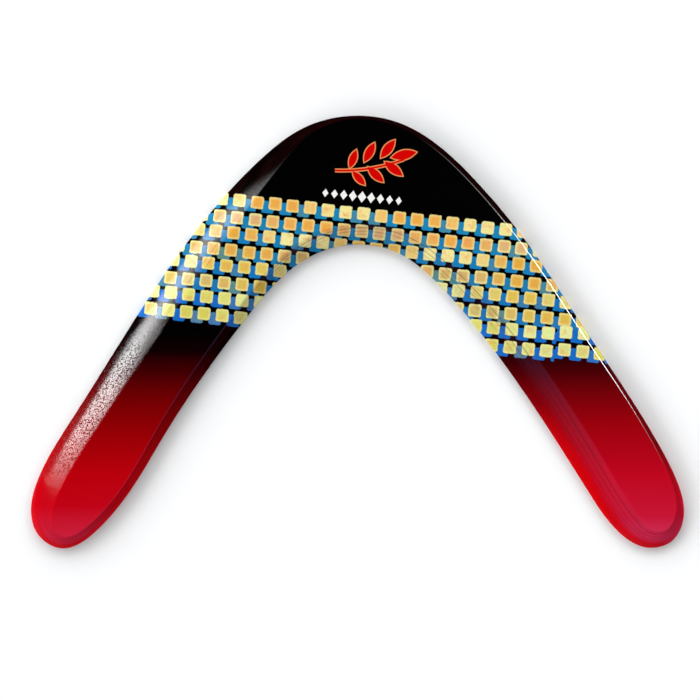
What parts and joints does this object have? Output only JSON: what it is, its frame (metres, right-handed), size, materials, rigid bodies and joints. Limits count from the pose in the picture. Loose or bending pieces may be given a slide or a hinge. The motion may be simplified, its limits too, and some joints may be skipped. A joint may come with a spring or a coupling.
{
  "type": "returning boomerang",
  "caption": "Flat two-armed returning boomerang of thin laminated birch, bevelled on its printed and lacquered face, with a flat underside.",
  "frame": {"origin": "middle of the bounding box at the underside, which is the surface the boomerang lies on", "axes": "+X along the span towards the arm whose leading edge is on the outside, +Y from the arm tips to the elbow, +Z from the flat underside to the bevelled, decorated face"},
  "size_m": [0.32, 0.212, 0.0052],
  "materials": {
    "birch_long_grain": "sanded birch veneer, grain along the span, bonded in",
    "birch_cross_grain": "sanded birch veneer, grain from elbow to tips, bonded in",
    "glue_film": "cured phenolic glue film, dark brown",
    "face_lacquer": "gloss lacquer over black paint that fades to red at the tips, with a printed band of coloured squares",
    "underside_lacquer": "satin black lacquer that fades to deep red at the tips"
  },
  "bodies": {
    "root": {"underside_lacquer": "underside_lacquer", "birch_veneer_01": "birch_long_grain", "birch_veneer_02": "birch_cross_grain", "birch_veneer_03": "birch_long_grain", "birch_veneer_04": "birch_cross_grain", "birch_veneer_05": "birch_long_grain", "birch_veneer_06": "birch_long_grain", "birch_veneer_07": "birch_cross_grain", "birch_veneer_08": "birch_long_grain", "birch_veneer_09": "birch_cross_grain", "birch_veneer_10": "birch_long_grain", "glue_film_01": "glue_film", "glue_film_02": "glue_film", "glue_film_03": "glue_film", "glue_film_04": "glue_film", "glue_film_05": "glue_film", "glue_film_06": "glue_film", "glue_film_07": "glue_film", "glue_film_08": "glue_film", "glue_film_09": "glue_film", "face_lacquer": "face_lacquer"}
  },
  "joints": []
}
